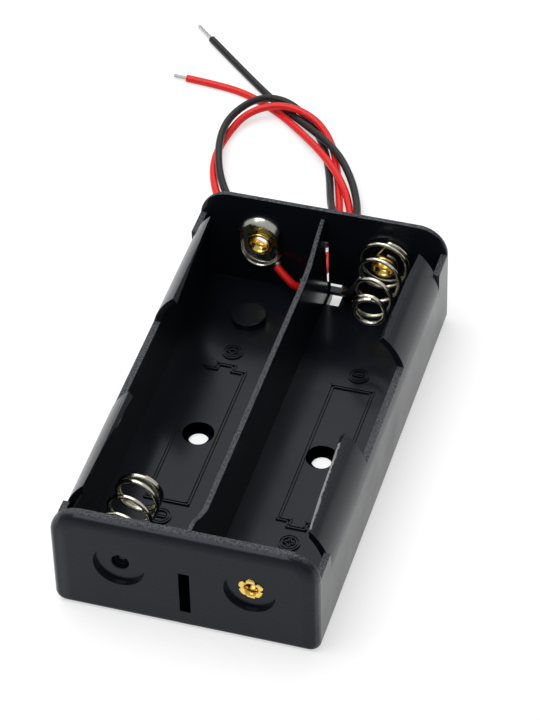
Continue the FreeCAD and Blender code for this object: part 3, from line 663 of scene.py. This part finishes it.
def smooth_line(points, diameter, piece_name, steps, around):
    """A curve through the points' own NURBS line, as thick as the wire."""
    curve = bpy.data.curves.new(piece_name, "CURVE")
    curve.dimensions = "3D"
    curve.bevel_depth = diameter / 2
    curve.bevel_resolution = around
    curve.use_fill_caps = True
    curve.resolution_u = steps
    spline = curve.splines.new("NURBS")
    spline.points.add(len(points) - 1)
    for point, spot in zip(spline.points, points):
        point.co = (*spot, 1.0)
    spline.order_u = 3
    spline.use_endpoint_u = True
    return curve, bpy.data.objects.new(piece_name, curve)


def wire_piece(points, piece_name, material):
    """Spring wire along the points, turned into a mesh."""
    curve, line = smooth_line(points, WIRE, piece_name + "_line", steps=4, around=4)
    mesh = bpy.data.meshes.new_from_object(line)
    bpy.data.objects.remove(line)
    bpy.data.curves.remove(curve)
    mesh.name = piece_name
    mesh.shade_smooth()
    mesh.materials.clear()
    mesh.materials.append(material)
    piece = bpy.data.objects.new(piece_name, mesh)
    bpy.context.scene.collection.objects.link(piece)
    return piece


back_path = eye_path(BACK_CENTRE, -1, EYE_END, -1)
back_path += coil_path(
    BACK_CENTRE, -1, EYE_END - CROSSOVER, -1, end_radius=2.5 * MM, coil_length=BACK_LENGTH,
    closed_turns=0.0, lean=0.65 * MM, close_wound=0.6, lift=0.5 * MM)
back_spring = wire_piece(back_path, "back_coil_wire", spring_wire)
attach(back_spring, "back_coil")
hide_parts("back_spring")
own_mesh(back_spring)

link_slope = math.asin((EYE_RADIUS + BASE_RADIUS) / (EYE_CENTRE.x - COIL_CENTRE.x))
side_on = Vector((math.sin(link_slope), 0.0, math.cos(link_slope)))
half_wire = Vector((0.0, WIRE / 2, 0.0))
leave = EYE_CENTRE - side_on * EYE_RADIUS + half_wire
arrive = COIL_CENTRE + side_on * BASE_RADIUS + half_wire
front_path = eye_path(EYE_CENTRE, 1, -math.pi / 2 - link_slope, -1)
for step in range(1, LINK_STEPS):
    share = step / LINK_STEPS
    front_path.append(leave.lerp(arrive, share) - Vector((0.0, 0.0, LINK_SAG * math.sin(math.pi * share))))
front_path += coil_path(
    COIL_CENTRE, 1, math.pi / 2 - link_slope, 1, end_radius=3.4 * MM, coil_length=FRONT_LENGTH,
    closed_turns=1.0, lean=0.0, close_wound=0.15, lift=0.0)
front_spring = wire_piece(front_path, "front_coil_wire", spring_wire)
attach(front_spring, "front_coil")
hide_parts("front_spring")
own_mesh(front_spring)


# The leads are thin stranded wire in glossy red and black insulation. Each starts at its solder joint
# inside the bay, leaves by the hole beside the divider and lies on the table in one loose loop. Its far
# end is stripped, and seven tinned strands stand out of it, twisted together.
LEAD = 1.3 * MM
BACK_FACE = 37.8
WALL_FACE = 36.4
REST = 0.66
STRANDS = 7
STRAND_RADIUS = 0.12 * MM
STRAND_OFFSET = 0.225 * MM
STRAND_SIDES = 8
STRAND_STEPS = 18
STRAND_TWIST = math.radians(300)
TUCKED = 0.3 * MM
# Inside the bay a point is x, the distance behind the wall's inner face, and the height above the table.
RED_START = [
    (-7.5, -1.4, 7.0),
    (-5.6, -2.4, 5.8),
    (-3.8, -2.8, 4.5),
    (-2.4, -1.3, 3.4),
    (-1.8, 1.2, 3.3),
]
# Outside it is x, the distance behind the wall's outer face, and the height above a wire that lies flat.
RED_ROUTE = [
    (-0.5, 2.6, 2.75),
    (-1, 7, 2.3),
    (-1.9, 13, 1.45),
    (-3.5, 20.6, 0),
    (-6.1, 28.7, 0),
    (-9.2, 36.8, 0),
    (-13.71, 41.27, 1.62),
    (-20.12, 42.67, 2.26),
    (-25.67, 40.28, 1.08),
    (-27.67, 34.4, 0.11),
    (-28, 27.4, 0),
    (-25.2, 19.5, 0),
    (-19.5, 11.5, 0),
    (-11.5, 7.2, 0),
    (-3.4, 7.2, 0),
    (1, 12.7, 0),
    (-1.1, 19.19, 0.32),
    (-3.98, 25.08, 1.4),
    (-9.18, 31.78, 1.4),
    (-15.7, 38.19, 0.65),
    (-21.2, 43, 0),
    (-27.6, 46.3, 0),
    (-33.3, 47.4, 0),
    (-39.07, 47.8, 0),
]
BLACK_START = [
    (6.5, -1.2, 7.0),
    (5.5, -1.9, 5.4),
    (4.3, -1.9, 4.2),
    (3.55, -0.5, 3.4),
    (3.45, 1.6, 3.3),
]
BLACK_ROUTE = [
    (1.8, 3.6, 2.91),
    (0.2, 7.9, 3.01),
    (-2, 13, 3.01),
    (-4, 17.6, 2.26),
    (-5.41, 21.48, 0.97),
    (-7.6, 28.8, 0),
    (-10.4, 35.6, 0),
    (-14.5, 41.7, 0),
    (-19.47, 44.68, 1.45),
    (-24.41, 43.87, 1.94),
    (-27.58, 39.07, 1.73),
    (-28.28, 33.37, 1.73),
    (-26.64, 25.97, 1.51),
    (-23.67, 19.89, 0.43),
    (-18.5, 13.6, 0),
    (-11.2, 10.4, 0),
    (-2.6, 10.8, 0),
    (0.65, 14.9, 2.2),
    (0.02, 19.48, 1.4),
    (-2.98, 26.78, 1.4),
    (-7.64, 33.67, 1.51),
    (-13.88, 38.48, 1.4),
    (-21, 44.5, 0),
    (-27, 49.4, 0),
    (-38.15, 59.62, 0),
]


def insulation(name, base, smooth, rough):
    material, shader = new_material(name, base, 0.3)
    shader.inputs["IOR"].default_value = 1.4
    shader.inputs["Coat Weight"].default_value = 0.12
    shader.inputs["Coat Roughness"].default_value = 0.12
    add_grain(
        material, shader, grain_scale=2200.0, blotch_scale=160.0, height=0.01 * MM, smooth=smooth,
        rough=rough)
    return material


def lead_points(start, route):
    """The lead's points in metres, and the one where it leaves the tray."""
    inside = [(x, WALL_FACE + out, up) for x, out, up in start]
    outside = [(x, BACK_FACE + out, REST + rise) for x, out, rise in route]
    points = [tuple(value * MM for value in point) for point in inside + outside]
    return points, points[len(inside) - 1]


def make_lead(piece_name, points, material, node):
    curve, lead = smooth_line(points, LEAD, piece_name, steps=12, around=5)
    curve.materials.append(material)
    bpy.context.scene.collection.objects.link(lead)
    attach(lead, "holder")
    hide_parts(node)


def make_tip(piece_name, end, before, length, node):
    """The stripped strands at the lead's last point, in line with the point before it."""
    end = Vector(end)
    turn = (end - Vector(before)).to_track_quat("Z", "Y")
    work = bmesh.new()
    for strand in range(STRANDS):
        offset = STRAND_OFFSET if strand else 0.0
        angle = math.tau * strand / (STRANDS - 1)
        ring = bmesh.ops.create_circle(
            work, cap_ends=False, radius=STRAND_RADIUS, segments=STRAND_SIDES)["verts"]
        bmesh.ops.translate(
            work, vec=(offset * math.cos(angle), offset * math.sin(angle), -TUCKED), verts=ring)
        edges = list({edge for vert in ring for edge in vert.link_edges})
        bmesh.ops.spin(
            work, geom=ring + edges, cent=(0, 0, 0), axis=(0, 0, 1),
            dvec=(0, 0, (length + TUCKED) / STRAND_STEPS), angle=STRAND_TWIST, steps=STRAND_STEPS)
    bmesh.ops.holes_fill(work, edges=[edge for edge in work.edges if edge.is_boundary], sides=0)
    bmesh.ops.rotate(work, cent=(0, 0, 0), matrix=turn.to_matrix(), verts=work.verts)
    bmesh.ops.translate(work, vec=end, verts=work.verts)
    tip = finish_mesh(work, piece_name, tinned, smooth_angle=60.0)
    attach(tip, "holder")
    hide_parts(node)
    return tip


tinned, shader = new_material("tinned_strand", (0.6, 0.6, 0.58), 0.3, 1.0)
add_grain(tinned, shader, grain_scale=2500.0, blotch_scale=700.0, height=0.006 * MM, smooth=0.2, rough=0.45)
red_insulation = insulation("red_insulation", (0.86, 0.011, 0.01), smooth=0.3, rough=0.42)
black_insulation = insulation("black_insulation", (0.009, 0.01, 0.011), smooth=0.34, rough=0.46)
red_points, red_exit = lead_points(RED_START, RED_ROUTE)
black_points, black_exit = lead_points(BLACK_START, BLACK_ROUTE)
red_tip = make_tip("red_strands", red_points[-1], red_points[-2], length=2.4 * MM, node="red_tip")
black_tip = make_tip(
    "black_strands", black_points[-1], black_points[-2], length=4.5 * MM, node="black_tip")
make_lead("red_wire", red_points, red_insulation, "red_lead")
make_lead("black_wire", black_points, black_insulation, "black_lead")


# Each lead's inner end is soldered: a small bead that has run round the strands and set dull and grey,
# and no two are quite alike.
BEAD_RADIUS = 0.78 * MM
LUMP = 0.05 * MM
LUMPS = Vector((4200.0, 3000.0, 3600.0))
solder, shader = new_material("solder_bead", (0.3, 0.3, 0.3), 0.35, 1.0)
add_grain(solder, shader, grain_scale=1800.0, blotch_scale=600.0, height=0.02 * MM, smooth=0.28, rough=0.5)
for side, node in ((-1, "red_solder"), (1, "black_solder")):
    low, high = (Vector(corner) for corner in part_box(node))
    work = bmesh.new()
    bmesh.ops.create_icosphere(work, subdivisions=4, radius=BEAD_RADIUS)
    for vert in work.verts:
        x, y, z = (place * often for place, often in zip(vert.co, LUMPS))
        lump = LUMP * math.sin(x + side) * math.sin(z) * math.cos(y)
        vert.co += vert.co.normalized() * (lump - LUMP)
    bmesh.ops.scale(work, vec=(0.95, 1.0, 1.05), verts=work.verts)
    bmesh.ops.translate(work, vec=(low + high) / 2, verts=work.verts)
    bead = finish_mesh(work, node + "_bead", solder, smooth_angle=180.0)
    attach(bead, "holder")
    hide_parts(node)


# The stage is a plain pale table with a matt top. It glows for the camera and in reflections only, so
# that it looks white and still takes the shadows of the tray and the leads.
TABLE_GLOW = 0.54
table_material, shader = new_material("pale_table", (0.6, 0.6, 0.6), 0.7)
shader.inputs["Specular IOR Level"].default_value = 0.0
shader.inputs["Emission Color"].default_value = (1.0, 1.0, 1.0, 1.0)
tree = table_material.node_tree
rays = tree.nodes.new("ShaderNodeLightPath").outputs
seen = figure(tree, "ADD", rays["Is Camera Ray"], rays["Is Glossy Ray"], clamp=True)
seen = figure(tree, "ADD", seen, rays["Is Transmission Ray"], clamp=True)
feed(tree, shader.inputs["Emission Strength"], figure(tree, "MULTIPLY", seen, TABLE_GLOW))
work = bmesh.new()
bmesh.ops.create_grid(work, x_segments=1, y_segments=1, size=3.0)
table = finish_mesh(work, "table_top", table_material)


# The light is that of a white studio: an even pale surround, one large soft lamp overhead and a weaker
# one behind, which brightens the tops of the walls.
world = bpy.data.worlds.new("studio")
bpy.context.scene.world = world
world.use_nodes = True
world.node_tree.nodes["Background"].inputs["Color"].default_value = (1.0, 1.0, 1.0, 1.0)
world.node_tree.nodes["Background"].inputs["Strength"].default_value = 0.5


def soft_lamp(name, place, width, height, watts):
    """A rectangular lamp that looks at the middle of the tray."""
    light = bpy.data.lights.new(name, "AREA")
    light.shape = "RECTANGLE"
    light.size = width
    light.size_y = height
    light.energy = watts
    lamp = bpy.data.objects.new(name, light)
    lamp.location = place
    lamp.rotation_euler = (-Vector(place)).to_track_quat("-Z", "Y").to_euler()
    bpy.context.scene.collection.objects.link(lamp)


soft_lamp("overhead", (-0.22, -0.05, 0.7), width=0.6, height=0.5, watts=2.6)
soft_lamp("behind", (-0.2, 0.63, 0.62), width=0.8, height=0.5, watts=1.3)


# The camera stands in front of the tray, a little to its right and well above it, as the photograph
# was taken. It has a long lens and a slight roll.
AZIMUTH = math.radians(17.74)
ELEVATION = math.radians(43.1)
ROLL = math.radians(-1.69)
DISTANCE = 0.52826
TARGET = Vector((-0.00362, 0.01787, 0.00272))
LENS = 221.67
back = Vector((
    math.sin(AZIMUTH) * math.cos(ELEVATION),
    -math.cos(AZIMUTH) * math.cos(ELEVATION),
    math.sin(ELEVATION),
))
forward = -back
right = forward.cross(Vector((0, 0, 1))).normalized()
up = right.cross(forward).normalized()
right_rolled = right * math.cos(ROLL) + up * math.sin(ROLL)
up_rolled = up * math.cos(ROLL) - right * math.sin(ROLL)
camera_data = bpy.data.cameras.new("camera")
camera_data.sensor_fit = "HORIZONTAL"
camera_data.sensor_width = 36.0
camera_data.lens = LENS
camera = bpy.data.objects.new("camera", camera_data)
turn = Matrix((right_rolled, up_rolled, back)).transposed().to_4x4()
camera.matrix_world = Matrix.Translation(TARGET + back * DISTANCE) @ turn
bpy.context.scene.collection.objects.link(camera)
bpy.context.scene.camera = camera
bpy.context.scene.view_settings.view_transform = "Standard"
